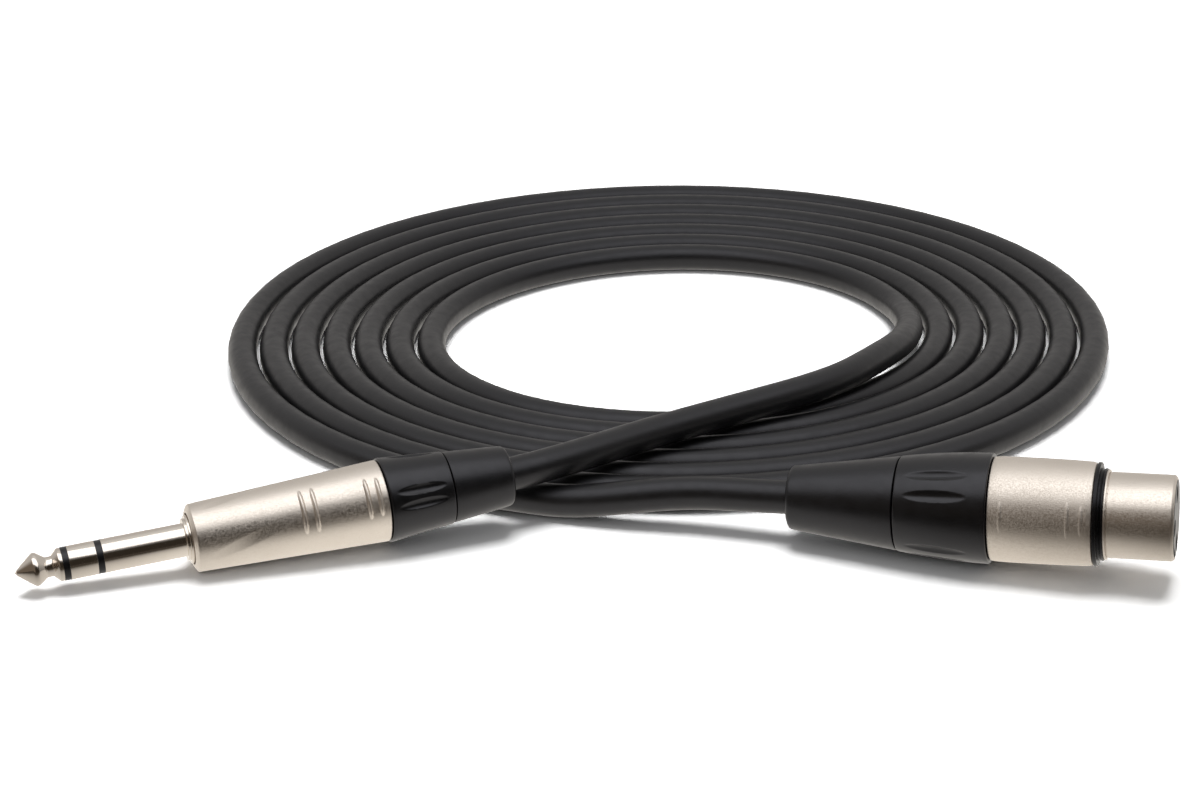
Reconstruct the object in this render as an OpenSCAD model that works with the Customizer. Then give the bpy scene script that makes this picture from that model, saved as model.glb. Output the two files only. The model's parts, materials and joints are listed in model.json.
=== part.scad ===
// A hand-coiled balanced audio cable: XLR socket on one end, 6.35 mm stereo jack plug on the other.
// Millimetres, +Z up. Everything lies on the plane z = 0, and y grows from the front of the coil to its back.

/* [Cable] */
// Outer diameter of the cable's jacket
cable_d = 6.6; // [6.4:0.1:6.6]
// Outer diameter of each wire inside it
wire_d = 1.6; // [1.2:0.1:1.7]

/* [Coil] */
// Half width of the outermost loop, on the cable's centre line
coil_half_width = 102.7; // [102:0.1:103.5]
// Half depth of the outermost loop, on the cable's centre line
coil_half_depth = 112; // [111.5:0.1:112.5]
// How much narrower each loop is than the one outside it, on each side
loop_step_side = 7.4; // [7.3:0.1:7.5]
// How much shallower each loop is than the one outside it, front and back
loop_step_end = 8.4; // [8.3:0.1:8.5]
// How far the centre of each loop shifts towards the front
loop_drift = 1.2; // [1.1:0.1:1.3]
// How far the right side of a loop lies behind its middle
coil_slant = 5.2; // [5:0.1:5.5]

/* [XLR connector] */
// Length of the rubber boot that shows
xlr_boot_length = 21; // [20:0.5:21.5]
// Diameter of the metal housing at its cable end
xlr_housing_d = 19.9; // [19.4:0.1:20.2]
// Diameter of the nose that enters the other connector
xlr_nose_d = 16; // [15.8:0.1:16]
// Distance from the connector's axis to each contact
contact_circle_r = 4.75; // [4.7:0.05:4.8]
// Bore of each female contact
contact_bore_d = 2.5; // [2.4:0.05:2.6]
// How far the latch lever tilts when its tab is pressed home, in degrees
latch_travel = 5; // [4:0.5:5]

/* [Jack plug] */
// Diameter of the plug's contacts
jack_d = 6.35; // [6.2:0.05:6.4]
// Diameter of the metal shell at its cable end
jack_shell_d = 15.8; // [15.5:0.1:15.8]
// Diameter of the metal shell at its front end
jack_shell_front_d = 12.9; // [12.5:0.1:12.9]
// Number of pairs of flutes round each grip
flute_pairs = 4; // [3:1:5]

/* [Hidden] */
$fn = 64;

cable_r = cable_d / 2;
// Radius of every hole that the cable passes through
cable_hole_r = 3.4;
// Radius of every hole that a wire is soldered into
cup_r = 0.95;

// Where each connector lies: the middle of its boot's cable end, its heading and its rise in degrees.
// Along a connector, z runs from that point outwards, y points up and x points away from the front
// on the XLR connector and towards the front on the jack plug.
xlr_at = [36.1, 8.8, 8.1];
xlr_heading = -17;
xlr_rise = 3.7;
jack_at = [-18, 14.1, 10.45];
jack_heading = 200;
jack_rise = -3.7;

// Stations along the XLR connector
xlr_boot_z = 0.7;
xlr_boot_end = xlr_boot_z + xlr_boot_length;
xlr_bushing_z = xlr_boot_end + 0.25;
xlr_bushing_end = 39.4;
xlr_bushing_d = 20.9;
xlr_housing_z = 39.6;
xlr_housing_end = 58.6;
xlr_ring_z = 58.7;
xlr_flange_z = 60.5;
xlr_nose_end = 73.1;
insert_z = 50;
insert_end = 73.2;
insert_r = 7.1;
contact_z = 44.5;
contact_end = 72.6;
contact_bore_depth = 10.4;
latch_pivot = [5.4, 0, 51.6];
latch_width = 3.8;
latch_channel_width = 4.8;
latch_bar = [4.6, 6.2];
latch_reach = 17.8;
// Floor of the lever's channel, clear of its front end when the tab is pressed home
latch_channel_floor = latch_bar[0] - latch_reach * sin(latch_travel) - 0.45;

// Stations along the jack plug
jack_boot_end = 12.3;
jack_bushing_z = 12.5;
jack_bushing_end = 25.2;
jack_shell_z = 25.4;
jack_shell_end = 62.5;
sleeve_end = 78.8;
ring_z = 80;
ring_end = 85.05;
tip_z = 86.2;
tip_end = 94.85;
// Radius of the tip's rim and of the black bands, a little under the other contacts
band_r = jack_d / 2 - 0.03;

// The coil is a closing spiral on the floor, counted in loops from its outer end.
// A loop starts at the left and goes round by the back.
coil_centre = [18.8, 129.4];
coil_start = -0.2;
coil_end = 6.45;
rings_per_loop = 24;
coil_steps = round((coil_end - coil_start) * rings_per_loop);

// A regular hexagon, flat above and below and stretched to the cable's own height
coil_section = [for (i = [0:5]) cable_r * [cos(60 * i), sin(60 * i) / cos(30)]];
lead_section = [for (i = [0:9]) cable_r * [cos(36 * i), sin(36 * i)]];

// The lead to the jack plug climbs over the front of the coil.
jack_lead_route = [
    [73.5, 128, 4.3], [73, 118, 5.6], [71, 108, 7], [68.5, 98.5, 8.4], [64.5, 89.5, 9.5],
    [59.5, 80.5, 10.2], [54, 72, 10.4], [47, 64.5, 10.5], [39, 58, 10.5], [30.5, 52, 10.4],
    [22.5, 46, 10.4], [14.5, 40, 10.4], [6.5, 33.5, 10.5], [-1, 26.5, 10.7], [-9, 20, 10.7],
];
// The lead to the XLR connector comes down from the boot to the coil's outer end.
xlr_lead_route = [[28.5, 11, 7.6], [21.5, 12.9, 7.3], [14.5, 14.2, 6.7], [7.5, 14.8, 5.8], [0.5, 16, 4.5]];

function unit(v) = v / norm(v);

function coil_point(t) =
    let (a = 180 - 360 * t)
    [
        coil_centre.x + (coil_half_width - loop_step_side * t) * cos(a),
        coil_centre.y - loop_drift * t + (coil_half_depth - loop_step_end * t) * sin(a) + coil_slant * cos(a),
        cable_r,
    ];

// Direction of the coil at t, from the start towards the end
function coil_heading(t) = unit(coil_point(t + 0.001) - coil_point(t - 0.001));

coil_first = coil_point(coil_start) - cable_d * coil_heading(coil_start);
coil_last = coil_point(coil_end) + cable_d * coil_heading(coil_end);
coil_path = [
    coil_first,
    for (i = [0:coil_steps]) coil_point(coil_start + (coil_end - coil_start) * i / coil_steps),
    coil_last,
];

// Direction of a path at its point i, halfway between the stretches that meet there
function heading(path, i) =
    let (
        before = path[max(i, 1)] - path[max(i, 1) - 1],
        after = path[min(i + 1, len(path) - 1)] - path[min(i, len(path) - 2)]
    )
    unit(unit(before) + unit(after));

// Least distance from a point to the stretch from a to b
function stretch_distance(p, a, b) =
    let (t = max(0, min(1, (p - a) * (b - a) / ((b - a) * (b - a)))))
    norm(p - a - t * (b - a));

// Least gap between the coil's surface and the same surface half a loop or more further on
function coil_gap(path) =
    min([
        for (i = [0 : len(path) - rings_per_loop])
            for (j = [i + rings_per_loop / 2 : len(path) - 2])
                stretch_distance(path[i], path[j], path[j + 1])
    ]) - cable_d;

// Direction from a connector's cable end outwards
function axis_of(heading, rise) = [cos(heading) * cos(rise), sin(heading) * cos(rise), sin(rise)];

// A tube of one cross-section swept along a path, with triangular faces and closed ends.
// Its end faces are square to start and finish, or else to the path itself, and the section's
// second axis leans towards upright, which no stretch of the path may follow.
module tube(path, section, upright = [0, 0, 1], start = undef, finish = undef) {
    sides = len(section);
    last = (len(path) - 1) * sides;
    directions = [
        for (i = [0 : len(path) - 1])
            i == 0 && start != undef ? start :
            i == len(path) - 1 && finish != undef ? finish : heading(path, i)
    ];
    points = [
        for (i = [0 : len(path) - 1])
            let (side = unit(cross(directions[i], upright)), up = cross(side, directions[i]))
            for (s = section) path[i] + s.x * side + s.y * up
    ];
    walls = [
        for (i = [0 : len(path) - 2])
            for (j = [0 : sides - 1])
                let (a = i * sides + j, b = i * sides + (j + 1) % sides)
                each [[a, b, b + sides], [a, b + sides, a + sides]]
    ];
    ends = [for (j = [1 : sides - 2]) each [[0, j + 1, j], [last, last + j, last + j + 1]]];
    polyhedron(points, concat(walls, ends));
}

// A wire that leaves the jacket's end, spreads along one direction and runs on straight
module wire(direction, jacket_z, bend_z, offset, end_z) {
    outwards = [cos(direction), sin(direction), 0];
    ahead = [0, 0, 1];
    section = [for (i = [0:7]) wire_d / 2 * [cos(45 * i), sin(45 * i)]];
    tube([
        1.5 * outwards + jacket_z * ahead, 1.5 * outwards + (jacket_z + 1) * ahead,
        offset * outwards + bend_z * ahead, offset * outwards + end_z * ahead,
    ], section, cross(outwards, ahead));
}

// A turned piece from its outline, given as [radius, station] pairs
module turned(outline) {
    rotate_extrude() polygon(outline);
}

// Leaf-shaped hollows in pairs round a turned piece: each is the rim of a disc pressed into it.
// The first pair is centred on the direction given, and apart is the angle between its flutes.
module flute_cuts(direction, apart, surface_r, z, depth, disc_r, rim_r) {
    for (pair = [0 : flute_pairs - 1])
        for (side = [-0.5, 0.5])
            rotate([0, 0, direction + 360 * pair / flute_pairs + side * apart])
                translate([surface_r - depth + disc_r, 0, z])
                    rotate([90, 0, 0])
                        rotate_extrude() translate([disc_r - rim_r, 0]) circle(r = rim_r);
}

// Raised ribs across one side of a tapered piece, centred on the direction given.
// The piece has radius rear[0] at station rear[1], and front[0] at front[1].
module ribs(stations, rear, front, direction, spread) {
    slope = (front[0] - rear[0]) / (front[1] - rear[1]);
    for (z = stations)
        rotate([0, 0, direction - spread / 2])
            rotate_extrude(angle = spread)
                translate([rear[0] + slope * (z - rear[1]) - 0.1, z]) circle(r = 0.35, $fn = 24);
}

module place(at, heading, rise) {
    translate(at) rotate([0, 90 - rise, heading]) rotate([0, 0, 90]) children();
}

module on_xlr() {
    place(xlr_at, xlr_heading, xlr_rise) children();
}

module on_jack() {
    place(jack_at, jack_heading, jack_rise) children();
}

// --- XLR connector ---

module xlr_boot() {
    end_r = 8.95;
    spigot_r = 6.6;
    spigot_end = 30;
    color([0.11, 0.11, 0.12]) on_xlr() turned([
        [cable_hole_r, xlr_boot_z], [5.5, xlr_boot_z], [6, xlr_boot_z + 0.35], [6.2, xlr_boot_z + 1],
        [end_r, xlr_boot_end], [spigot_r, xlr_boot_end], [spigot_r, spigot_end],
        [cable_hole_r, spigot_end],
    ]);
}

// Radius of the grip at u, from 0 at the boot to 1 at the housing
function xlr_grip_r(u) =
    let (rear_r = 9.05, swell = 1.3)
    rear_r + (xlr_bushing_d / 2 - rear_r) * u + swell * u * (1 - u);

module xlr_bushing() {
    steps = 8;
    grip_length = xlr_bushing_end - xlr_bushing_z;
    flute_z = 29.8;
    flute_r = xlr_grip_r((flute_z - xlr_bushing_z) / grip_length);
    color([0.13, 0.13, 0.14]) on_xlr() difference() {
        turned(concat(
            [[6.75, xlr_bushing_z]],
            [for (i = [0:steps]) [xlr_grip_r(i / steps), xlr_bushing_z + grip_length * i / steps]],
            [[8.3, xlr_bushing_end], [8.3, 46], [7.6, 46], [7.6, 30.2], [6.75, 30.2]]
        ));
        flute_cuts(136.3, 24.4, flute_r, flute_z, 0.45, 38, 1.4);
    }
}

module xlr_housing() {
    rear_r = xlr_housing_d / 2;
    front_r = rear_r - 0.2;
    color([0.72, 0.69, 0.65]) on_xlr() union() {
        turned([
            [8.5, xlr_housing_z], [rear_r - 0.3, xlr_housing_z], [rear_r, xlr_housing_z + 0.3],
            [front_r, xlr_housing_end - 0.5], [front_r - 0.2, xlr_housing_end - 0.15],
            [front_r - 0.5, xlr_housing_end],
            [8.15, xlr_housing_end], [8.15, 56.8], [8.5, 56.8],
        ]);
        ribs(
            [42, 54.2, 56.7], [rear_r, xlr_housing_z + 0.3], [front_r, xlr_housing_end - 0.5], 167, 36
        );
    }
}

module xlr_ring() {
    end_z = xlr_flange_z - 0.05;
    color([0.08, 0.08, 0.09]) on_xlr() turned([
        [8.05, xlr_ring_z], [9.7, xlr_ring_z], [9.7, xlr_ring_z + 0.7], [8.55, xlr_ring_z + 0.7],
        [8.55, end_z], [8.05, end_z],
    ]);
}

module xlr_nose() {
    nose_r = xlr_nose_d / 2;
    bore_r = 7.2;
    flange_end = xlr_flange_z + 0.4;
    window = [61.6, 70];
    color([0.74, 0.71, 0.67]) on_xlr() difference() {
        turned([
            [bore_r, 47], [nose_r, 47], [nose_r, 55], [8.4, 55], [8.4, 56.7], [nose_r, 56.7],
            [nose_r, xlr_flange_z], [8.4, xlr_flange_z], [8.4, flange_end], [nose_r, flange_end],
            [nose_r, xlr_nose_end - 0.5], [nose_r - 0.15, xlr_nose_end - 0.15],
            [nose_r - 0.4, xlr_nose_end], [bore_r, xlr_nose_end],
        ]);
        translate([0, -latch_channel_width / 2, window[0]])
            cube([10, latch_channel_width, window[1] - window[0]]);
    }
}

// Directions of contacts 1 to 3 from the axis
contact_directions = [90, 270, 180];

module at_contact(i) {
    rotate([0, 0, contact_directions[i - 1]]) translate([contact_circle_r, 0, 0]) children();
}

module xlr_insert() {
    color([0.1, 0.1, 0.11]) on_xlr() difference() {
        translate([0, 0, insert_z]) cylinder(r = insert_r, h = insert_end - insert_z);
        for (i = [1:3])
            at_contact(i) translate([0, 0, insert_z - 1]) cylinder(r = 1.65, h = 25);
        translate([latch_channel_floor, -latch_channel_width / 2, insert_z - 1])
            cube([10, latch_channel_width, 21.6]);
        translate([latch_pivot.x, 5, latch_pivot.z]) rotate([90, 0, 0]) cylinder(r = 0.8, h = 10);
        rotate([0, 0, 225]) translate([6.4, -1.7, 59.6]) cube([2, 3.4, 20]);
    }
}

module xlr_contact(i) {
    bore_r = contact_bore_d / 2;
    color([0.8, 0.72, 0.5]) on_xlr() at_contact(i) turned([
        [0, 47.6], [cup_r, 47.6], [cup_r, contact_z], [1.4, contact_z], [1.4, 51], [1.6, 51],
        [1.6, contact_end], [bore_r, contact_end],
        [bore_r, contact_end - contact_bore_depth], [0, contact_end - contact_bore_depth],
    ]);
}

module xlr_contact_1() {
    xlr_contact(1);
}

module xlr_contact_2() {
    xlr_contact(2);
}

module xlr_contact_3() {
    xlr_contact(3);
}

module xlr_ground_spring() {
    color([0.8, 0.75, 0.6]) on_xlr() rotate([0, 0, 225])
        translate([6.55, -1.5, 60]) cube([0.4, 3, 10]);
}

module xlr_latch_lever() {
    half = latch_width / 2;
    color([0.75, 0.75, 0.76]) on_xlr() difference() {
        union() {
            translate([latch_pivot.x, half, latch_pivot.z])
                rotate([90, 0, 0]) cylinder(r = 1.2, h = latch_width);
            translate([latch_bar[0], -half, latch_pivot.z])
                cube([latch_bar[1] - latch_bar[0], latch_width, latch_reach]);
            translate([5.5, -half, 62.1]) cube([3.9, latch_width, 3.3]);
            translate([0, half, 0]) rotate([90, 0, 0]) linear_extrude(latch_width)
                polygon([[5.5, 67], [8.7, 67], [8.7, 67.8], [6.2, 69.4], [5.5, 69.4]]);
        }
        translate([latch_pivot.x, 5, latch_pivot.z]) rotate([90, 0, 0]) cylinder(r = 0.85, h = 10);
    }
}

module xlr_latch_pin() {
    color([0.8, 0.8, 0.81]) on_xlr() translate([latch_pivot.x, 3.6, latch_pivot.z])
        rotate([90, 0, 0]) cylinder(r = 0.75, h = 7.2);
}

// A bent leaf between the channel's floor and the lever, which it bears on close to the pivot
module xlr_latch_spring() {
    width = 3;
    low = latch_channel_floor + 0.05;
    top = low + 0.3;
    color([0.7, 0.7, 0.72]) on_xlr() translate([0, width / 2, 0]) rotate([90, 0, 0])
        linear_extrude(width) polygon([
            [low, 53.4], [low, 62.6], [top, 62.6], [4.3, 54.4], [4, 54.3], [top, 60.5], [top, 53.4],
        ]);
}

// A collet that grips the jacket: a turned sleeve with two crossing slots in its rear end
module collet(rear_z, rear_r, shoulder_z, outer_r, front_z) {
    slot = 0.8;
    difference() {
        turned([
            [cable_hole_r, rear_z], [rear_r, rear_z], [outer_r, shoulder_z],
            [outer_r, front_z], [cable_hole_r, front_z],
        ]);
        for (a = [0, 90])
            rotate([0, 0, a]) translate([-outer_r - 1, -slot / 2, rear_z - 1])
                cube([2 * outer_r + 2, slot, (front_z - rear_z) * 0.6 + 1]);
    }
}

module xlr_chuck() {
    color([0.85, 0.85, 0.83]) on_xlr() collet(30.6, 5.2, 33.5, 7.3, 37.5);
}

module xlr_cable_end() {
    color([0.1, 0.1, 0.11]) on_xlr() cylinder(d = cable_d, h = 38);
}

// A wire from the jacket's end to the solder cup of contact i
module xlr_wire(i) {
    on_xlr() wire(contact_directions[i - 1], 38, 43.6, contact_circle_r, 47);
}

module xlr_wire_hot() {
    color([0.75, 0.15, 0.12]) xlr_wire(2);
}

module xlr_wire_cold() {
    color([0.85, 0.85, 0.82]) xlr_wire(3);
}

module xlr_wire_shield() {
    color([0.7, 0.45, 0.25]) xlr_wire(1);
}

// --- Jack plug ---

module jack_tip() {
    color([0.8, 0.79, 0.77]) on_jack() turned([
        [0, 46], [0.8, 46], [0.8, tip_z], [band_r, tip_z], [band_r, tip_z + 0.2], [3.05, 86.8],
        [2.75, 87.2], [1.95, 88.2], [1.9, 89], [2.6, 90.2], [band_r - 0.1, 90.8], [band_r, 91.1],
        [band_r - 0.1, 91.4], [0.6, 94.5], [0, tip_end],
    ]);
}

module jack_tip_insulator() {
    color([0.07, 0.07, 0.08]) on_jack() turned([
        [0.85, 49], [1.1, 49], [1.1, ring_end], [band_r, ring_end], [band_r, tip_z], [0.85, tip_z],
    ]);
}

module jack_ring() {
    color([0.8, 0.79, 0.77]) on_jack() turned([
        [1.15, 53], [1.5, 53], [1.5, ring_z], [jack_d / 2, ring_z], [jack_d / 2, ring_end],
        [1.15, ring_end],
    ]);
}

module jack_ring_insulator() {
    color([0.07, 0.07, 0.08]) on_jack() turned([
        [1.55, 55], [2, 55], [2, sleeve_end], [band_r, sleeve_end], [band_r, ring_z],
        [1.55, ring_z],
    ]);
}

module jack_sleeve() {
    bore_r = 2.05;
    r = jack_d / 2;
    color([0.78, 0.77, 0.75]) on_jack() turned([
        [bore_r, 57.9], [5.4, 57.9], [5.4, 59.5], [3.9, 59.5], [3.9, 62.6], [4.6, 62.6], [4.6, 63],
        [4, 63.1], [4, 63.5], [r, 63.5], [r, sleeve_end], [bore_r, sleeve_end],
    ]);
}

module jack_tip_lug() {
    color([0.8, 0.78, 0.7]) on_jack() {
        turned([[0.83, 47], [2.4, 47], [2.4, 47.6], [0.83, 47.6]]);
        translate([-0.9, 1.6, 41]) cube([1.8, 0.6, 6.6]);
    }
}

module jack_ring_lug() {
    color([0.8, 0.78, 0.7]) on_jack() {
        turned([[1.53, 53.4], [3, 53.4], [3, 54], [1.53, 54]]);
        translate([-0.9, -3, 43]) cube([1.8, 0.6, 11]);
    }
}

module jack_sleeve_lug() {
    color([0.8, 0.78, 0.7]) on_jack() {
        turned([[2.1, 57.2], [4.4, 57.2], [4.4, 57.8], [2.1, 57.8]]);
        translate([3.8, -1.5, 35]) cube([0.6, 3, 22.8]);
    }
}

module jack_liner() {
    color([0.85, 0.85, 0.82]) on_jack() turned([[4.85, 34], [5.35, 34], [5.35, 57], [4.85, 57]]);
}

module jack_shell() {
    rear_r = jack_shell_d / 2;
    front_r = jack_shell_front_d / 2;
    edge_z = jack_shell_end - 0.6;
    color([0.74, 0.71, 0.67]) on_jack() union() {
        turned([
            [6.5, jack_shell_z], [rear_r - 0.2, jack_shell_z], [rear_r, jack_shell_z + 0.3],
            [front_r, edge_z], [front_r - 0.9, jack_shell_end], [4, jack_shell_end], [4, 59.6],
            [5.5, 59.6], [5.5, 32.5], [6.5, 32.5],
        ]);
        ribs([27.1, 29.3, 39.4, 41.7], [rear_r, jack_shell_z + 0.3], [front_r, edge_z], 30.3, 62);
    }
}

module jack_chuck() {
    color([0.85, 0.85, 0.83]) on_jack() collet(19.6, 4.4, 22, 5.3, 28);
}

module jack_bushing() {
    rear_r = 7.1;
    front_r = 8.2;
    flute_z = 18.8;
    flute_r = (rear_r + front_r) / 2;
    color([0.13, 0.13, 0.14]) on_jack() difference() {
        turned([
            [5.7, jack_bushing_z], [rear_r, jack_bushing_z], [front_r, jack_bushing_end - 0.3],
            [front_r - 0.3, jack_bushing_end], [6.4, jack_bushing_end], [6.4, 32], [5.5, 32],
            [5.5, 19.2], [5.7, 19.2],
        ]);
        flute_cuts(19, 21, flute_r, flute_z, 0.45, 26, 1.2);
    }
}

module jack_boot() {
    spigot_r = 5.6;
    spigot_end = 19;
    color([0.11, 0.11, 0.12]) on_jack() turned([
        [cable_hole_r, 0], [5.2, 0], [5.8, 0.5], [6.05, 2], [6.95, jack_boot_end],
        [spigot_r, jack_boot_end], [spigot_r, spigot_end], [cable_hole_r, spigot_end],
    ]);
}

module jack_cable_end() {
    color([0.1, 0.1, 0.11]) on_jack() cylinder(d = cable_d, h = 31);
}

module jack_wire_hot() {
    color([0.75, 0.15, 0.12]) on_jack() wire(90, 31, 40, 3.1, 45);
}

module jack_wire_cold() {
    color([0.85, 0.85, 0.82]) on_jack() wire(270, 31, 41, 3.9, 47);
}

module jack_wire_shield() {
    color([0.7, 0.45, 0.25]) on_jack() wire(0, 31, 38, 2.9, 43);
}

// --- Cable ---

module cable_coil() {
    echo(least_gap_between_loops = coil_gap(coil_path));
    color([0.12, 0.12, 0.13]) tube(coil_path, coil_section);
}

module cable_lead_jack() {
    path = concat([coil_last], jack_lead_route, [jack_at]);
    color([0.12, 0.12, 0.13]) tube(
        path, lead_section, start = coil_heading(coil_end), finish = axis_of(jack_heading, jack_rise)
    );
}

module cable_lead_xlr() {
    path = concat([xlr_at], xlr_lead_route, [coil_first]);
    color([0.12, 0.12, 0.13]) tube(
        path, lead_section, start = -axis_of(xlr_heading, xlr_rise), finish = coil_heading(coil_start)
    );
}

xlr_boot();
xlr_bushing();
xlr_housing();
xlr_ring();
xlr_nose();
xlr_insert();
xlr_contact_1();
xlr_contact_2();
xlr_contact_3();
xlr_ground_spring();
xlr_latch_lever();
xlr_latch_pin();
xlr_latch_spring();
xlr_chuck();
xlr_cable_end();
xlr_wire_hot();
xlr_wire_cold();
xlr_wire_shield();
jack_tip();
jack_tip_insulator();
jack_ring();
jack_ring_insulator();
jack_sleeve();
jack_tip_lug();
jack_ring_lug();
jack_sleeve_lug();
jack_liner();
jack_shell();
jack_chuck();
jack_bushing();
jack_boot();
jack_cable_end();
jack_wire_hot();
jack_wire_cold();
jack_wire_shield();
cable_coil();
cable_lead_jack();
cable_lead_xlr();
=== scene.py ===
"""A hand-coiled balanced audio cable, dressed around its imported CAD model.

The two connectors are turned meshes, each in its own straight frame: z runs from the boot's cable
end outwards, and directions round the connector are measured from x towards y. On the jack plug x
points at the camera and y up; on the XLR connector x points away from the camera and y up.
Outlines are in millimetres, as in the CAD model, and everything that reaches Blender is in metres.
"""
import json
import math

import bmesh
import bpy
from mathutils import Matrix, Vector


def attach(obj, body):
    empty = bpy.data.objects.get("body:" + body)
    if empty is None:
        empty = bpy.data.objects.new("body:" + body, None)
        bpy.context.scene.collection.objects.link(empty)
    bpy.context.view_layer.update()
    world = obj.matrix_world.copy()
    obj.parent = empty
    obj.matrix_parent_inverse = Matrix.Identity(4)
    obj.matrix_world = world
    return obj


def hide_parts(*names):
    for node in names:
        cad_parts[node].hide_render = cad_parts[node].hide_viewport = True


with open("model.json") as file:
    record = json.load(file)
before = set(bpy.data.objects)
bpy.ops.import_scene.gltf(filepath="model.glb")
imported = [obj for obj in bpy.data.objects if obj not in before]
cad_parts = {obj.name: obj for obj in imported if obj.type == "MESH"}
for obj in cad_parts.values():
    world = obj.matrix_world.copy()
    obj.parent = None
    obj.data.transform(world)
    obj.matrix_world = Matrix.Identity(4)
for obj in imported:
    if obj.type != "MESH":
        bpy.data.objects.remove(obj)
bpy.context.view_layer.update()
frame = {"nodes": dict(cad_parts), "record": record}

MM = 0.001

# --- Driving sizes, in millimetres -----------------------------------------------------------------

CABLE_R = 3.3

# Each connector: the middle of its boot's cable end, its heading from +X, and its rise, in degrees
XLR_AT = Vector((36.1, 8.8, 8.1))
XLR_HEADING = -17
XLR_RISE = 3.7
JACK_AT = Vector((-18, 14.1, 10.45))
JACK_HEADING = 200
JACK_RISE = -3.7

# Camera: its place, its tilt below level in degrees, and its lens on a 36 mm wide picture
CAMERA_AT = (0, -419, 188)
CAMERA_TILT = 20.5
LENS = 72.21

# The coil, a closing spiral counted in loops from its outer end
COIL_CENTRE = (18.8, 129.4)
COIL_HALF_WIDTH = 102.7
COIL_HALF_DEPTH = 112
LOOP_STEP_SIDE = 7.4
LOOP_STEP_END = 8.4
LOOP_DRIFT = 1.2
COIL_SLANT = 5.2
COIL_START = -0.2
COIL_END = 6.45
POINTS_PER_LOOP = 72

# Centre lines of the free leads, from the coil to the jack plug and from the XLR connector to the coil
JACK_LEAD = [
    (73.5, 128, 4.3), (73, 118, 5.6), (71, 108, 7), (68.5, 98.5, 8.4), (64.5, 89.5, 9.5),
    (59.5, 80.5, 10.2), (54, 72, 10.4), (47, 64.5, 10.5), (39, 58, 10.5), (30.5, 52, 10.4),
    (22.5, 46, 10.4), (14.5, 40, 10.4), (6.5, 33.5, 10.5), (-1, 26.5, 10.7), (-9, 20, 10.7),
]
XLR_LEAD = [(28.5, 11, 7.6), (21.5, 12.9, 7.3), (14.5, 14.2, 6.7), (7.5, 14.8, 5.8), (0.5, 16, 4.5)]

# Leaf-shaped hollows in the grips: four pairs round each, by station, size and direction in degrees
FLUTE_PAIRS = 4
FLUTE_DEPTH = 0.45
XLR_GRIP = (21.95, 39.4)
XLR_FLUTE_STATION = 29.8
XLR_FLUTE_HALF_LENGTH = 5.9
XLR_FLUTE_HALF_WIDTH = 1.1
XLR_FLUTE_DIRECTION = 136.3
XLR_FLUTE_APART = 24.4
JACK_FLUTE_STATION = 18.8
JACK_FLUTE_HALF_LENGTH = 4.9
JACK_FLUTE_HALF_WIDTH = 0.95
JACK_FLUTE_DIRECTION = 19
JACK_FLUTE_APART = 21

# Raised ribs, each by its station and half its spread round the shell in degrees
XLR_RIBS = ((42, 17), (54.2, 20.5), (56.7, 17))
XLR_RIB_DIRECTION = 167
XLR_RIB_HALF_WIDTH = 0.4
XLR_RIB_HEIGHT = 0.13
XLR_RIB_BLUNTNESS = 3
JACK_RIBS = ((27.1, 28), (29.3, 30), (39.4, 35), (41.7, 35))
JACK_RIB_DIRECTION = 30.3
JACK_RIB_HALF_WIDTH = 0.45
JACK_RIB_HEIGHT = 0.42
JACK_RIB_BLUNTNESS = 5

# Long shallow hollows that wind back from the front of the jack's shell
FACET_FRONT = 60.2
FACET_LENGTH = 14
FACET_DIRECTION = -18
FACET_STEP = 92
FACET_TWIST = 37.6
FACET_HALF_WIDTH = 1.3
FACET_DEPTH = 0.12

# The latch's window in the nose, in the XLR connector's own frame
NOSE_WINDOW = ((0, -2.4, 61.6), (10, 2.4, 70))

# Light on the table: how far it leans from behind and how broad it is, in degrees, and the room
# that fills its shadows
TABLE_LIGHT_LEAN = 15
TABLE_LIGHT_SPREAD = 34
TABLE_LIGHT_STRENGTH = 1.7
ROOM = (0.2, 0.2, 0.2)

# What shines mirrors a softbox, in metres, and a studio round it; a strength of 1 shows as white
SOFTBOX_AT = (0.0, -0.2, 0.65)
SOFTBOX_SIZE = (1.8, 0.68)
SOFTBOX_STRENGTH = 1.08
SOFTBOX_COLOUR = (0.98, 0.98, 1)
STUDIO_FRONT_LEFT = (0.15, 0.12, 0.094)
STUDIO_FRONT_RIGHT = (0.03, 0.024, 0.018)
STUDIO_BACK = (0.55, 0.53, 0.51)
STUDIO_TOP = (0.74, 0.73, 0.72)
LEFT_TO_RIGHT = (-0.45, 0.1)
FRONT_TO_BACK = (-0.35, 0.35)
LOW_TO_TOP = (0.55, 0.97)

# The table's own colour, and its colour to the camera, which shows as white out of shadow
FLOOR_COLOUR = (0.8, 0.8, 0.8)
FLOOR_SEEN = (2.0, 2.0, 2.0)

# Painted reflection: to what shines, the table is a glow rather than its lit face. It is pale under the
# object, where it shows no shadow, and dim from where it reaches the front, which paints a dark band
# into the metal
PALE_PAINTED_REFLECTION = (1.0, 0.96, 0.9)
DARK_PAINTED_REFLECTION_FRONT = (0.06, 0.05, 0.04)
PAINTED_REFLECTION_SPAN = (-0.04, -0.003)

# Segments round a plain turned piece, and round one with relief
ROUND = 160
FINE_ROUND = 384

# Relief only changes what lies further out than this share of a piece's greatest radius
RELIEF_SHARE = 0.8

# Points nearer than this, in millimetres, are one
TOUCHING = 1e-4

# Edges turned by more degrees than this stay sharp
SHARP_FROM = 35

# Half the side of the table, in metres
TABLE_HALF = 4


# --- Small tools -----------------------------------------------------------------------------------

def add_object(name, data):
    made = bpy.data.objects.new(name, data)
    bpy.context.scene.collection.objects.link(made)
    return made


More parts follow.
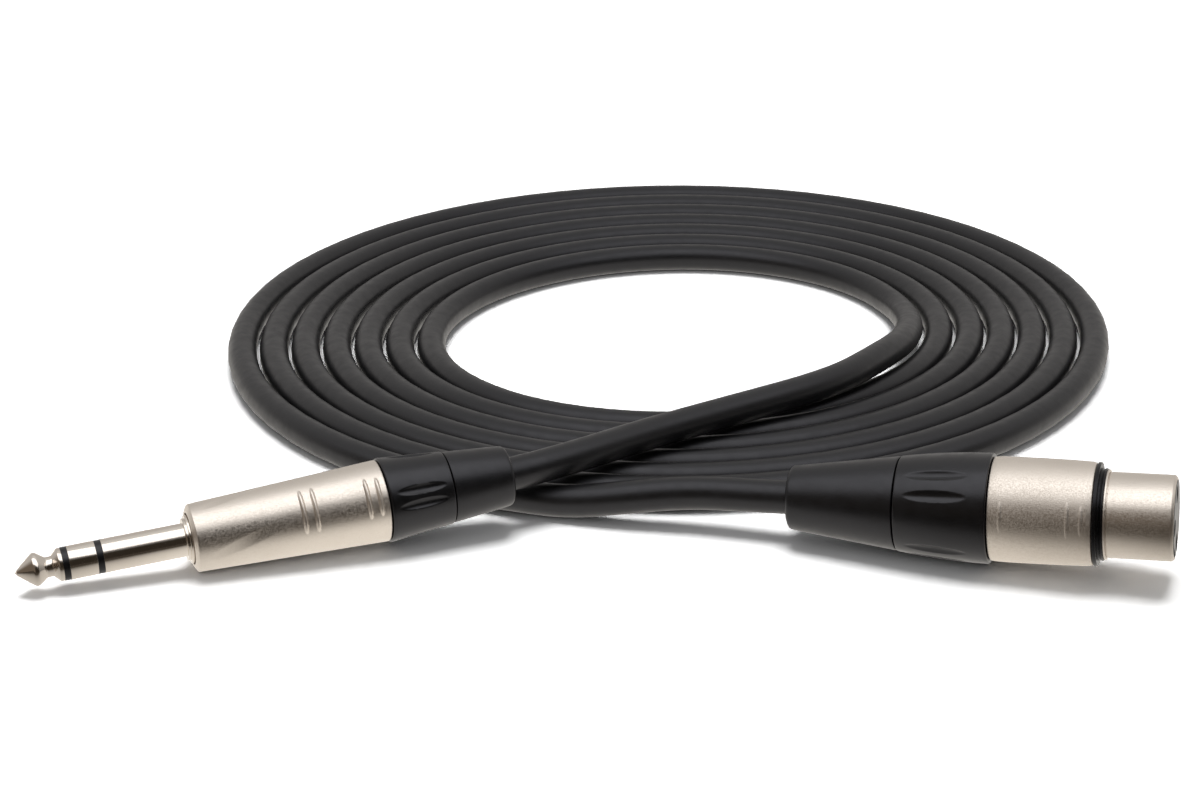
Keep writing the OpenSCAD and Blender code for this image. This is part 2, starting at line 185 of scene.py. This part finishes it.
def placement(at, heading, rise):
    """From a connector's own straight frame, in metres, to the shared frame."""
    return (
        Matrix.Translation(at * MM)
        @ Matrix.Rotation(math.radians(heading), 4, "Z")
        @ Matrix.Rotation(math.radians(90 - rise), 4, "Y")
        @ Matrix.Rotation(math.radians(90), 4, "Z")
    )


ON_XLR = placement(XLR_AT, XLR_HEADING, XLR_RISE)
ON_JACK = placement(JACK_AT, JACK_HEADING, JACK_RISE)


def rounded(outline, steps=5):
    """A closed outline of (radius, station[, fillet]) corners with its fillets drawn out."""
    points = []
    for i, corner in enumerate(outline):
        here = Vector(corner[:2])
        if len(corner) == 2:
            points.append(here)
            continue
        fillet = corner[2]
        back = (Vector(outline[i - 1][:2]) - here).normalized()
        ahead = (Vector(outline[(i + 1) % len(outline)][:2]) - here).normalized()
        half = back.angle(ahead) / 2
        centre = here + (back + ahead).normalized() * fillet / math.sin(half)
        start = here + back * fillet / math.tan(half) - centre
        finish = here + ahead * fillet / math.tan(half) - centre
        turn = start.angle_signed(finish)
        for k in range(steps + 1):
            points.append(centre + Matrix.Rotation(-turn * k / steps, 2) @ start)
    return points


def dense(points, spans):
    """Adds points on straight stretches, so that none within a (low, high, step) span is longer."""
    filled = []
    for i, here in enumerate(points):
        following = points[(i + 1) % len(points)]
        filled.append(here)
        low_z, high_z = sorted((here.y, following.y))
        cuts = set()
        for low, high, step in spans:
            first = math.ceil((max(low, low_z) - low) / step)
            last = math.floor((min(high, high_z) - low) / step)
            cuts.update(round(low + step * k, 6) for k in range(first, last + 1))
        cuts = sorted(c for c in cuts if low_z + TOUCHING < c < high_z - TOUCHING)
        if following.y < here.y:
            cuts.reverse()
        for cut in cuts:
            share = (cut - here.y) / (following.y - here.y)
            filled.append(here.lerp(following, share))
    return filled


def turned(name, outline, where, segments=ROUND, spans=(), relief=None):
    """A turned piece from its closed outline; relief(direction, station) is added outside."""
    points = dense(rounded(outline), spans)
    widest = max(p.x for p in points)
    bm = bmesh.new()
    rings = []
    for p in points:
        if p.x < TOUCHING:
            rings.append([bm.verts.new((0, 0, p.y * MM))])
            continue
        ring = []
        for k in range(segments):
            angle = 2 * math.pi * k / segments
            radius = p.x
            if relief and radius > RELIEF_SHARE * widest:
                radius += relief(math.degrees(angle), p.y, radius)
            ring.append(bm.verts.new((
                radius * MM * math.cos(angle), radius * MM * math.sin(angle), p.y * MM,
            )))
        rings.append(ring)
    for i, ring in enumerate(rings):
        following = rings[(i + 1) % len(rings)]
        if len(ring) == 1 and len(following) == 1:
            continue
        for k in range(segments):
            corners = [ring[k % len(ring)], ring[(k + 1) % len(ring)],
                       following[(k + 1) % len(following)], following[k % len(following)]]
            bm.faces.new(list(dict.fromkeys(corners)))
    return finish_mesh(name, bm, where)


def finish_mesh(name, bm, where):
    """Turns a piece's faces outwards, places it and shades it smooth but for its sharp edges."""
    bmesh.ops.recalc_face_normals(bm, faces=bm.faces)
    mesh = bpy.data.meshes.new(name)
    bm.to_mesh(mesh)
    bm.free()
    mesh.transform(where)
    mesh.polygons.foreach_set("use_smooth", [True] * len(mesh.polygons))
    mesh.set_sharp_from_angle(angle=math.radians(SHARP_FROM))
    mesh.update()
    return add_object(name, mesh)


def dress(piece, node, slot, body="root"):
    """Puts a piece in its CAD node's place, on that node's body and in its material slot."""
    piece.data.materials.clear()
    piece.data.materials.append(MATERIALS[slot])
    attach(piece, body)
    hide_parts(node)


def turn_between(angle, direction):
    """Signed angle from a direction to an angle, in degrees, within half a turn."""
    return (angle - direction + 180) % 360 - 180


def leaf(along, across, bluntness=2):
    """Height of a leaf-shaped dome over its own outline, 1 at its middle and 0 from its rim on."""
    return max(0.0, 1 - abs(along) ** bluntness - across * across)


def flute_directions(first, apart):
    """The directions of pairs of flutes, spaced evenly round a grip."""
    return [
        first + 360 / FLUTE_PAIRS * pair + side * apart / 2
        for pair in range(FLUTE_PAIRS) for side in (-1, 1)
    ]


# --- Camera ----------------------------------------------------------------------------------------

def add_camera():
    data = bpy.data.cameras.new("camera")
    data.sensor_width = 36
    data.lens = LENS
    camera = add_object("camera", data)
    camera.location = Vector(CAMERA_AT) * MM
    camera.rotation_euler = (math.radians(90 - CAMERA_TILT), 0, 0)
    bpy.context.scene.camera = camera


# --- Materials -------------------------------------------------------------------------------------

BLACK_SHINE = (0.96, 0.96, 1.02, 1)


class Surface:
    """A Principled material whose colour, roughness and bump vary with solid noise."""

    def __init__(self, name, colour, roughness, metallic=0.0, **sockets):
        self.material = bpy.data.materials.new(name)
        self.material.use_nodes = True
        self.tree = self.material.node_tree
        self.shader = self.tree.nodes["Principled BSDF"]
        self.shader.inputs["Base Color"].default_value = (*colour, 1)
        self.shader.inputs["Roughness"].default_value = roughness
        self.shader.inputs["Metallic"].default_value = metallic
        for socket, value in sockets.items():
            self.shader.inputs[socket.replace("_", " ")].default_value = value
        self.place = self.tree.nodes.new("ShaderNodeTexCoord")
        self.height = None

    def noise(self, scale, detail=3.0, stretch=None):
        """Noise of about the given number of cells per metre."""
        node = self.tree.nodes.new("ShaderNodeTexNoise")
        node.inputs["Scale"].default_value = scale
        node.inputs["Detail"].default_value = detail
        place = self.place.outputs["Object"]
        if stretch:
            mapping = self.tree.nodes.new("ShaderNodeMapping")
            mapping.inputs["Scale"].default_value = stretch
            self.tree.links.new(place, mapping.inputs["Vector"])
            place = mapping.outputs["Vector"]
        self.tree.links.new(place, node.inputs["Vector"])
        return node.outputs["Fac"]

    def colours(self, factor, low, high):
        """Runs the base colour from low to high with a factor."""
        mix = self.tree.nodes.new("ShaderNodeMix")
        mix.data_type = "RGBA"
        mix.inputs[6].default_value = (*low, 1)
        mix.inputs[7].default_value = (*high, 1)
        self.tree.links.new(factor, mix.inputs[0])
        self.tree.links.new(mix.outputs[2], self.shader.inputs["Base Color"])

    def roughnesses(self, factor, low, high):
        spread = self.tree.nodes.new("ShaderNodeMapRange")
        spread.inputs["From Min"].default_value = 0.3
        spread.inputs["From Max"].default_value = 0.7
        spread.inputs["To Min"].default_value = low
        spread.inputs["To Max"].default_value = high
        self.tree.links.new(factor, spread.inputs["Value"])
        self.tree.links.new(spread.outputs["Result"], self.shader.inputs["Roughness"])

    def bump(self, factor, depth_mm, strength=1.0):
        """Adds a bump of the given depth on top of those before it."""
        node = self.tree.nodes.new("ShaderNodeBump")
        node.inputs["Strength"].default_value = strength
        node.inputs["Distance"].default_value = depth_mm * MM
        self.tree.links.new(factor, node.inputs["Height"])
        if self.height:
            self.tree.links.new(self.height, node.inputs["Normal"])
        self.height = node.outputs["Normal"]
        self.tree.links.new(self.height, self.shader.inputs["Normal"])


def soft_black(name, low, high, roughness, grain_scale, grain_depth, **sockets):
    """Black rubber or plastic with a fine moulded grain and a faint blue in its shine."""
    surface = Surface(name, low, roughness, Specular_Tint=BLACK_SHINE, **sockets)
    surface.colours(surface.noise(140, 4), low, high)
    surface.roughnesses(surface.noise(420, 4), roughness - 0.05, roughness + 0.05)
    surface.bump(surface.noise(grain_scale, 2), grain_depth)
    return surface.material


def satin_nickel(name, smoothest, roughest):
    """Blasted and plated metal: fine even grain, a little uneven in the plating."""
    surface = Surface(name, (0.76, 0.7, 0.63), 0.4, 1.0)
    surface.colours(surface.noise(180, 4), (0.72, 0.66, 0.59), (0.8, 0.74, 0.67))
    surface.roughnesses(surface.noise(3600, 2), smoothest, roughest)
    surface.bump(surface.noise(3800, 2), 0.018)
    return surface.material


def polished_nickel():
    """Turned and plated contacts, with faint marks of wear round them."""
    surface = Surface("polished_nickel", (0.78, 0.72, 0.65), 0.12, 1.0)
    surface.colours(surface.noise(260, 4), (0.74, 0.68, 0.61), (0.82, 0.76, 0.69))
    surface.roughnesses(surface.noise(1300, 3), 0.08, 0.16)
    surface.bump(surface.noise(2600, 2), 0.003)
    return surface.material


def plain_metal(name, low, high, roughness):
    """Plated or bare metal with a faint grain."""
    surface = Surface(name, low, roughness, 1.0)
    surface.colours(surface.noise(300, 4), low, high)
    surface.roughnesses(surface.noise(1200, 3), roughness - 0.06, roughness + 0.06)
    surface.bump(surface.noise(4000, 2), 0.006)
    return surface.material


def plain_plastic(name, low, high, roughness):
    """Moulded plastic with a faint grain."""
    surface = Surface(name, low, roughness)
    surface.colours(surface.noise(220, 3), low, high)
    surface.roughnesses(surface.noise(800, 3), roughness - 0.05, roughness + 0.05)
    surface.bump(surface.noise(2400, 2), 0.006)
    return surface.material


def copper_strands():
    """Twisted bare strands, drawn as ridges of a stretched noise, with painted shade: darker in the
    grooves between them and paler on their ridges.
    """
    surface = Surface("copper_shield", (0.70, 0.38, 0.20), 0.35, 1.0)
    strands = surface.noise(1600, 1, stretch=(0.25, 1, 1))
    # Painted shade and highlight: the colour follows the bump, darker where the strands dip and paler
    # where they rise
    surface.colours(strands, (0.50, 0.25, 0.12), (0.80, 0.45, 0.25))
    surface.bump(strands, 0.08)
    return surface.material


MATERIALS = {
    "cable_jacket": soft_black(
        "cable_jacket", (0.004, 0.004, 0.0045), (0.006, 0.006, 0.0066),
        roughness=0.4, grain_scale=1800, grain_depth=0.012,
    ),
    "black_rubber": soft_black(
        "black_rubber", (0.003, 0.003, 0.0035), (0.0045, 0.0045, 0.0052),
        roughness=0.37, grain_scale=2600, grain_depth=0.012,
    ),
    "black_plastic": soft_black(
        "black_plastic", (0.003, 0.003, 0.0035), (0.0045, 0.0045, 0.0052),
        roughness=0.33, grain_scale=3400, grain_depth=0.010,
    ),
    "white_plastic": plain_plastic("white_plastic", (0.72, 0.72, 0.69), (0.78, 0.78, 0.75), 0.4),
    "red_insulation": plain_plastic("red_insulation", (0.46, 0.026, 0.018), (0.54, 0.034, 0.024), 0.35),
    "satin_nickel": satin_nickel("satin_nickel", smoothest=0.28, roughest=0.54),
    "polished_nickel": polished_nickel(),
    "contact_metal": plain_metal("contact_metal", (0.74, 0.68, 0.56), (0.82, 0.76, 0.64), 0.2),
    "spring_steel": plain_metal("spring_steel", (0.56, 0.56, 0.56), (0.64, 0.64, 0.64), 0.28),
    "copper_shield": copper_strands(),
}


# The XLR housing is blasted more coarsely than the nose and the jack's shell
COARSE_NICKEL = satin_nickel("coarse_nickel", smoothest=0.36, roughest=0.64)

# The ring between housing and nose shines less than the other plastic
DEEP_BLACK = soft_black(
    "deep_black", (0.002, 0.002, 0.0023), (0.003, 0.003, 0.0034),
    roughness=0.3, grain_scale=3400, grain_depth=0.004, Specular_IOR_Level=0.28,
)


# --- Cable -----------------------------------------------------------------------------------------

def coil_point(loops):
    """Where the coil's centre line is after a number of loops, in millimetres."""
    angle = math.pi - 2 * math.pi * loops
    return Vector((
        COIL_CENTRE[0] + (COIL_HALF_WIDTH - LOOP_STEP_SIDE * loops) * math.cos(angle),
        COIL_CENTRE[1] - LOOP_DRIFT * loops
        + (COIL_HALF_DEPTH - LOOP_STEP_END * loops) * math.sin(angle) + COIL_SLANT * math.cos(angle),
        CABLE_R,
    ))


def coil_heading(loops):
    return (coil_point(loops + 0.001) - coil_point(loops - 0.001)).normalized()


def blended(points, parts=4):
    """A cubic B-spline guided by the points, from near the second one to near the last but one."""
    curve = []
    for before, here, there, after in zip(points, points[1:], points[2:], points[3:]):
        for k in range(parts):
            t = k / parts
            curve.append((
                (1 - t) ** 3 * before + (3 * t ** 3 - 6 * t ** 2 + 4) * here
                + (1 + 3 * t + 3 * t ** 2 - 3 * t ** 3) * there + t ** 3 * after
            ) / 6)
    curve.append((points[-3] + 4 * points[-2] + points[-1]) / 6)
    return curve


def axis_of(where):
    return (where.to_3x3() @ Vector((0, 0, 1))).normalized()


def cable_path():
    """The whole cable's centre line from boot to boot, in millimetres."""
    span = 2 * CABLE_R
    steps = round((COIL_END - COIL_START) * POINTS_PER_LOOP)
    coil = [coil_point(COIL_START + (COIL_END - COIL_START) * i / steps) for i in range(steps + 1)]
    first = coil[0] - span * coil_heading(COIL_START)
    last = coil[-1] + span * coil_heading(COIL_END)
    inside_xlr = XLR_AT + 2 * span * axis_of(ON_XLR)
    inside_jack = JACK_AT + 2 * span * axis_of(ON_JACK)
    start = blended([inside_xlr, XLR_AT, *map(Vector, XLR_LEAD), first, coil[0], coil[1]])
    end = blended([coil[-2], coil[-1], last, *map(Vector, JACK_LEAD), JACK_AT, inside_jack])
    return start + coil[1:-1] + end


def add_cable():
    """The cable as one round curve from boot to boot."""
    data = bpy.data.curves.new("cable", "CURVE")
    data.dimensions = "3D"
    data.bevel_depth = CABLE_R * MM
    data.bevel_resolution = 8
    data.use_fill_caps = True
    path = cable_path()
    spline = data.splines.new("POLY")
    spline.points.add(len(path) - 1)
    for point, place in zip(spline.points, path):
        point.co = (*(place * MM), 1)
    spline.use_smooth = True
    data.materials.append(MATERIALS["cable_jacket"])
    cable = add_object("cable", data)
    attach(cable, "root")
    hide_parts("cable_coil", "cable_lead_jack", "cable_lead_xlr")


# --- XLR connector ---------------------------------------------------------------------------------

def add_xlr_boot():
    dress(turned("xlr_boot_skin", [
        (3.4, 0.7, 0.3), (6.15, 0.7, 0.9), (6.4, 2.7), (8.97, 21.7, 0.25), (6.6, 21.7),
        (6.6, 30), (3.4, 30),
    ], ON_XLR), "xlr_boot", "black_rubber")


XLR_FLUTES = flute_directions(XLR_FLUTE_DIRECTION, XLR_FLUTE_APART)


def xlr_grip_r(share):
    """Radius of the grip, which widens towards the housing and bulges a little on the way."""
    return 9.05 + 1.4 * share + 1.3 * share * (1 - share)


def xlr_flutes(direction, station, radius):
    """Pairs of leaf-shaped hollows, pressed in along the grip."""
    along = (station - XLR_FLUTE_STATION) / XLR_FLUTE_HALF_LENGTH
    deepest = 0
    for middle in XLR_FLUTES:
        across = math.radians(turn_between(direction, middle)) * radius / XLR_FLUTE_HALF_WIDTH
        deepest = max(deepest, leaf(along, across))
    return -FLUTE_DEPTH * deepest


def add_xlr_bushing():
    steps = 12
    start, end = XLR_GRIP
    grip = [(xlr_grip_r(i / steps), start + (end - start) * i / steps) for i in range(1, steps)]
    outline = [
        (6.75, start), (xlr_grip_r(0), start, 0.25), *grip, (xlr_grip_r(1), end, 0.35),
        (8.3, end), (8.3, 46), (7.6, 46), (7.6, 30.2), (6.75, 30.2),
    ]
    dress(turned(
        "xlr_bushing_skin", outline, ON_XLR, FINE_ROUND, [(22.6, 38.4, 0.3)], xlr_flutes
    ), "xlr_bushing", "black_plastic")


def xlr_ribs(direction, station, radius):
    """Three short low ribs on the side that faces the camera."""
    height = 0
    for middle, spread in XLR_RIBS:
        along = turn_between(direction, XLR_RIB_DIRECTION) / spread
        across = (station - middle) / XLR_RIB_HALF_WIDTH
        height = max(height, leaf(along, across, XLR_RIB_BLUNTNESS))
    return XLR_RIB_HEIGHT * height


def add_xlr_housing():
    outline = [
        (8.5, 39.6), (9.74, 39.6, 0.2), (9.88, 40.8), (9.93, 43), (9.92, 47), (9.88, 51),
        (9.83, 54), (9.78, 56), (9.73, 57.6), (9.5, 58.6, 0.35), (8.15, 58.6), (8.15, 56.8),
        (8.5, 56.8),
    ]
    spans = [(41.4, 42.6, 0.07), (53.6, 57.3, 0.07)]
    housing = turned("xlr_housing_skin", outline, ON_XLR, FINE_ROUND, spans, xlr_ribs)
    dress(housing, "xlr_housing", "satin_nickel")
    housing.data.materials[0] = COARSE_NICKEL


def add_xlr_ring():
    ring = turned("xlr_ring_skin", [
        (8.05, 58.7), (9.68, 58.7, 0.12), (9.68, 59.4, 0.15), (8.6, 59.4), (8.6, 59.75, 0.1),
        (8.35, 59.9, 0.1), (8.6, 60.05, 0.1), (8.6, 60.45, 0.12), (8.05, 60.45),
    ], ON_XLR)
    dress(ring, "xlr_ring", "black_plastic")
    ring.data.materials[0] = DEEP_BLACK


def cut_box(piece, low, high, where):
    """Cuts a box, given in the connector's own millimetres, out of a piece."""
    bm = bmesh.new()
    bmesh.ops.create_cube(bm, size=1)
    middle = (Vector(low) + Vector(high)) / 2
    span = Vector(high) - Vector(low)
    matrix = where @ Matrix.Translation(middle * MM) @ Matrix.Diagonal((*(span * MM), 1))
    bmesh.ops.transform(bm, matrix=matrix, verts=bm.verts)
    mesh = bpy.data.meshes.new("cutter")
    bm.to_mesh(mesh)
    bm.free()
    cutter = add_object("cutter", mesh)
    modifier = piece.modifiers.new("cut", "BOOLEAN")
    modifier.object = cutter
    modifier.operation = "DIFFERENCE"
    modifier.solver = "EXACT"
    apply_modifiers(piece)
    bpy.data.objects.remove(cutter)


def apply_modifiers(piece):
    """Replaces a piece's mesh by the one that its modifiers make."""
    graph = bpy.context.evaluated_depsgraph_get()
    mesh = bpy.data.meshes.new_from_object(piece.evaluated_get(graph))
    piece.modifiers.clear()
    old = piece.data
    piece.data = mesh
    bpy.data.meshes.remove(old)


def add_xlr_nose():
    nose = turned("xlr_nose_skin", [
        (7.2, 47), (8, 47), (8, 55), (8.4, 55), (8.4, 56.7), (8, 56.7), (8, 60.5), (8.4, 60.5, 0.12),
        (8.4, 60.92, 0.12), (7.8, 60.92), (7.8, 61.1), (8, 61.1, 0.08), (8, 72.6, 0.15),
        (7.62, 73.1, 0.15), (7.2, 73.1, 0.1), (7.2, 70),
    ], ON_XLR)
    cut_box(nose, *NOSE_WINDOW, ON_XLR)
    dress(nose, "xlr_nose", "satin_nickel")


# --- Jack plug -------------------------------------------------------------------------------------

def add_jack_boot():
    dress(turned("jack_boot_skin", [
        (3.4, 0, 0.3), (5.8, 0, 0.8), (6.05, 2), (6.97, 12.3, 0.2), (5.6, 12.3),
        (5.6, 19), (3.4, 19),
    ], ON_JACK), "jack_boot", "black_rubber")


JACK_FLUTES = flute_directions(JACK_FLUTE_DIRECTION, JACK_FLUTE_APART)


def jack_flutes(direction, station, radius):
    """Pairs of leaf-shaped hollows, as on the XLR connector's grip."""
    along = (station - JACK_FLUTE_STATION) / JACK_FLUTE_HALF_LENGTH
    deepest = 0
    for middle in JACK_FLUTES:
        across = math.radians(turn_between(direction, middle)) * radius / JACK_FLUTE_HALF_WIDTH
        deepest = max(deepest, leaf(along, across))
    return -FLUTE_DEPTH * deepest


def add_jack_bushing():
    dress(turned("jack_bushing_skin", [
        (5.7, 12.5), (7.1, 12.5, 0.2), (8.2, 25.2, 0.3), (6.4, 25.2), (6.4, 32), (5.5, 32),
        (5.5, 19.2), (5.7, 19.2),
    ], ON_JACK, FINE_ROUND, [(13.2, 24.4, 0.3)], jack_flutes), "jack_bushing", "black_plastic")


def jack_shell_relief(direction, station, radius):
    """Two pairs of raised ribs, and long shallow facets that wind round the front half."""
    height = 0
    for middle, spread in JACK_RIBS:
        along = turn_between(direction, JACK_RIB_DIRECTION) / spread
        across = (station - middle) / JACK_RIB_HALF_WIDTH
        height = max(height, leaf(along, across, JACK_RIB_BLUNTNESS))
    share = (FACET_FRONT - station) / FACET_LENGTH
    hollow = 0
    for quarter in range(4):
        line = FACET_DIRECTION + FACET_STEP * quarter + FACET_TWIST * share
        across = math.radians(turn_between(direction, line)) * radius / FACET_HALF_WIDTH
        hollow = max(hollow, leaf(2 * share - 1, across))
    return JACK_RIB_HEIGHT * height - FACET_DEPTH * hollow


def add_jack_shell():
    outline = [
        (6.5, 25.4), (7.9, 25.4, 0.3), (6.45, 61.9, 0.3), (5.45, 62.5, 0.15), (4.95, 62.5, 0.1),
        (4.95, 60.4), (4, 60.4), (4, 59.6), (5.5, 59.6), (5.5, 32.5), (6.5, 32.5),
    ]
    spans = [(26.4, 30, 0.12), (30, 38.8, 0.8), (38.8, 42.4, 0.12), (42.4, 61.4, 0.6)]
    dress(turned(
        "jack_shell_skin", outline, ON_JACK, FINE_ROUND, spans, jack_shell_relief
    ), "jack_shell", "satin_nickel")


def add_jack_sleeve():
    dress(turned("jack_sleeve_skin", [
        (2.05, 57.9), (5.4, 57.9), (5.4, 59.5), (3.9, 59.5), (3.9, 62.4), (4.6, 62.4, 0.1),
        (4.6, 63, 0.15), (4, 63), (4, 63.5, 0.15), (3.175, 63.5, 0.1), (3.175, 78.8, 0.06),
        (2.05, 78.8),
    ], ON_JACK), "jack_sleeve", "polished_nickel")


def add_jack_bands():
    dress(turned("jack_ring_band", [
        (1.55, 55), (2, 55), (2, 78.8), (3.13, 78.8), (3.13, 80), (1.55, 80),
    ], ON_JACK), "jack_ring_insulator", "black_plastic")
    dress(turned("jack_tip_band", [
        (0.85, 49), (1.1, 49), (1.1, 85.05), (3.13, 85.05), (3.13, 86.2), (0.85, 86.2),
    ], ON_JACK), "jack_tip_insulator", "black_plastic")


def add_jack_ring():
    dress(turned("jack_ring_skin", [
        (1.15, 53), (1.5, 53), (1.5, 80), (3.175, 80, 0.06), (3.175, 85.05, 0.06), (1.15, 85.05),
    ], ON_JACK), "jack_ring", "polished_nickel")


def add_jack_tip():
    dress(turned("jack_tip_skin", [
        (0, 46), (0.8, 46), (0.8, 86.2), (3.1, 86.2, 0.05), (3.1, 86.9, 0.5), (1.9, 88, 0.6),
        (1.9, 89.1, 0.7), (3.36, 91.1, 0.9), (0.55, 94.45, 0.5), (0, 94.85),
    ], ON_JACK), "jack_tip", "polished_nickel")


# --- Everything that keeps its CAD shape -------------------------------------------------------------

def dress_cad_nodes():
    """Gives every CAD node the material of its slot."""
    for part in frame["record"]["subparts"]:
        node = frame["nodes"][part["node"]]
        node.data.materials.clear()
        node.data.materials.append(MATERIALS[part["material_slot"]])


# --- Floor, world and lamps --------------------------------------------------------------------------

def add_floor():
    """A pale table: white to the camera with its shadows on it, and to metal a graded glow, a painted
    reflection that is pale under the object and dim towards the front.
    """
    bm = bmesh.new()
    bmesh.ops.create_grid(bm, x_segments=1, y_segments=1, size=TABLE_HALF)
    mesh = bpy.data.meshes.new("floor")
    bm.to_mesh(mesh)
    bm.free()
    floor = add_object("floor", mesh)
    material = bpy.data.materials.new("floor_white")
    material.use_nodes = True
    material.cycles.emission_sampling = "NONE"
    tree = material.node_tree
    tree.nodes.remove(tree.nodes["Principled BSDF"])
    ray = tree.nodes.new("ShaderNodeLightPath")
    colour = mixed_colour(tree, ray.outputs["Is Camera Ray"], FLOOR_COLOUR, FLOOR_SEEN)
    paper = tree.nodes.new("ShaderNodeBsdfDiffuse")
    tree.links.new(colour, paper.inputs["Color"])
    # Painted reflection: rays that glance straight off what shines see this emission instead of the lit
    # table, pale under the object with no shadow in it, and dim towards the front
    place = tree.nodes.new("ShaderNodeTexCoord")
    nearness = ramp(tree, place.outputs["Object"], "Y", PAINTED_REFLECTION_SPAN)
    painted_reflection = tree.nodes.new("ShaderNodeEmission")
    tree.links.new(
        mixed_colour(tree, nearness, DARK_PAINTED_REFLECTION_FRONT, PALE_PAINTED_REFLECTION), painted_reflection.inputs["Color"]
    )
    shader = tree.nodes.new("ShaderNodeMixShader")
    direct = tree.nodes.new("ShaderNodeMath")
    direct.operation = "GREATER_THAN"
    tree.links.new(ray.outputs["Is Glossy Ray"], direct.inputs[0])
    tree.links.new(ray.outputs["Diffuse Depth"], direct.inputs[1])
    tree.links.new(direct.outputs[0], shader.inputs[0])
    tree.links.new(paper.outputs[0], shader.inputs[1])
    tree.links.new(painted_reflection.outputs[0], shader.inputs[2])
    tree.links.new(shader.outputs[0], tree.nodes["Material Output"].inputs["Surface"])
    floor.data.materials.append(material)


def mixed_colour(tree, factor, low, high):
    """From one colour to another with a factor; low may be a node's output."""
    mix = tree.nodes.new("ShaderNodeMix")
    mix.data_type = "RGBA"
    mix.inputs[7].default_value = (*high, 1)
    if isinstance(low, tuple):
        mix.inputs[6].default_value = (*low, 1)
    else:
        tree.links.new(low, mix.inputs[6])
    tree.links.new(factor, mix.inputs[0])
    return mix.outputs[2]


def ramp(tree, place, axis, span):
    """From 0 to 1 as a place or a direction runs along an axis over a span."""
    split = tree.nodes.new("ShaderNodeSeparateXYZ")
    tree.links.new(place, split.inputs["Vector"])
    spread = tree.nodes.new("ShaderNodeMapRange")
    spread.interpolation_type = "SMOOTHSTEP"
    spread.inputs["From Min"].default_value, spread.inputs["From Max"].default_value = span
    tree.links.new(split.outputs[axis], spread.inputs["Value"])
    return spread.outputs["Result"]


def add_table_light():
    """A broad light from above and a little behind, for the table and its shadows."""
    data = bpy.data.lights.new("table_light", "SUN")
    data.energy = TABLE_LIGHT_STRENGTH
    data.angle = math.radians(TABLE_LIGHT_SPREAD)
    light = add_object("table_light", data)
    light.rotation_euler = (math.radians(-TABLE_LIGHT_LEAN), 0, 0)
    light.visible_glossy = False


def add_softbox():
    """A wide softbox that only what shines mirrors."""
    data = bpy.data.lights.new("softbox", "AREA")
    data.shape = "RECTANGLE"
    data.size, data.size_y = SOFTBOX_SIZE
    data.color = SOFTBOX_COLOUR
    data.energy = math.pi * data.size * data.size_y * SOFTBOX_STRENGTH
    softbox = add_object("softbox", data)
    softbox.location = SOFTBOX_AT
    softbox.visible_diffuse = False


def light_world():
    """White to the camera, a plain room to what is matt, and to what shines a studio that is dark
    in front and paler behind and above."""
    world = bpy.data.worlds.new("world")
    bpy.context.scene.world = world
    world.use_nodes = True
    tree = world.node_tree
    direction = tree.nodes.new("ShaderNodeTexCoord").outputs["Generated"]
    front = mixed_colour(
        tree, ramp(tree, direction, "X", LEFT_TO_RIGHT), STUDIO_FRONT_LEFT, STUDIO_FRONT_RIGHT
    )
    low = mixed_colour(tree, ramp(tree, direction, "Y", FRONT_TO_BACK), front, STUDIO_BACK)
    studio = mixed_colour(tree, ramp(tree, direction, "Z", LOW_TO_TOP), low, STUDIO_TOP)
    ray = tree.nodes.new("ShaderNodeLightPath")
    room = mixed_colour(tree, ray.outputs["Is Diffuse Ray"], studio, ROOM)
    colour = mixed_colour(tree, ray.outputs["Is Camera Ray"], room, (1, 1, 1))
    tree.links.new(colour, tree.nodes["Background"].inputs["Color"])
    bpy.context.scene.view_settings.view_transform = "Standard"


add_camera()
add_cable()
add_xlr_boot()
add_xlr_bushing()
add_xlr_housing()
add_xlr_ring()
add_xlr_nose()
add_jack_boot()
add_jack_bushing()
add_jack_shell()
add_jack_sleeve()
add_jack_bands()
add_jack_ring()
add_jack_tip()
dress_cad_nodes()
add_floor()
add_table_light()
add_softbox()
light_world()
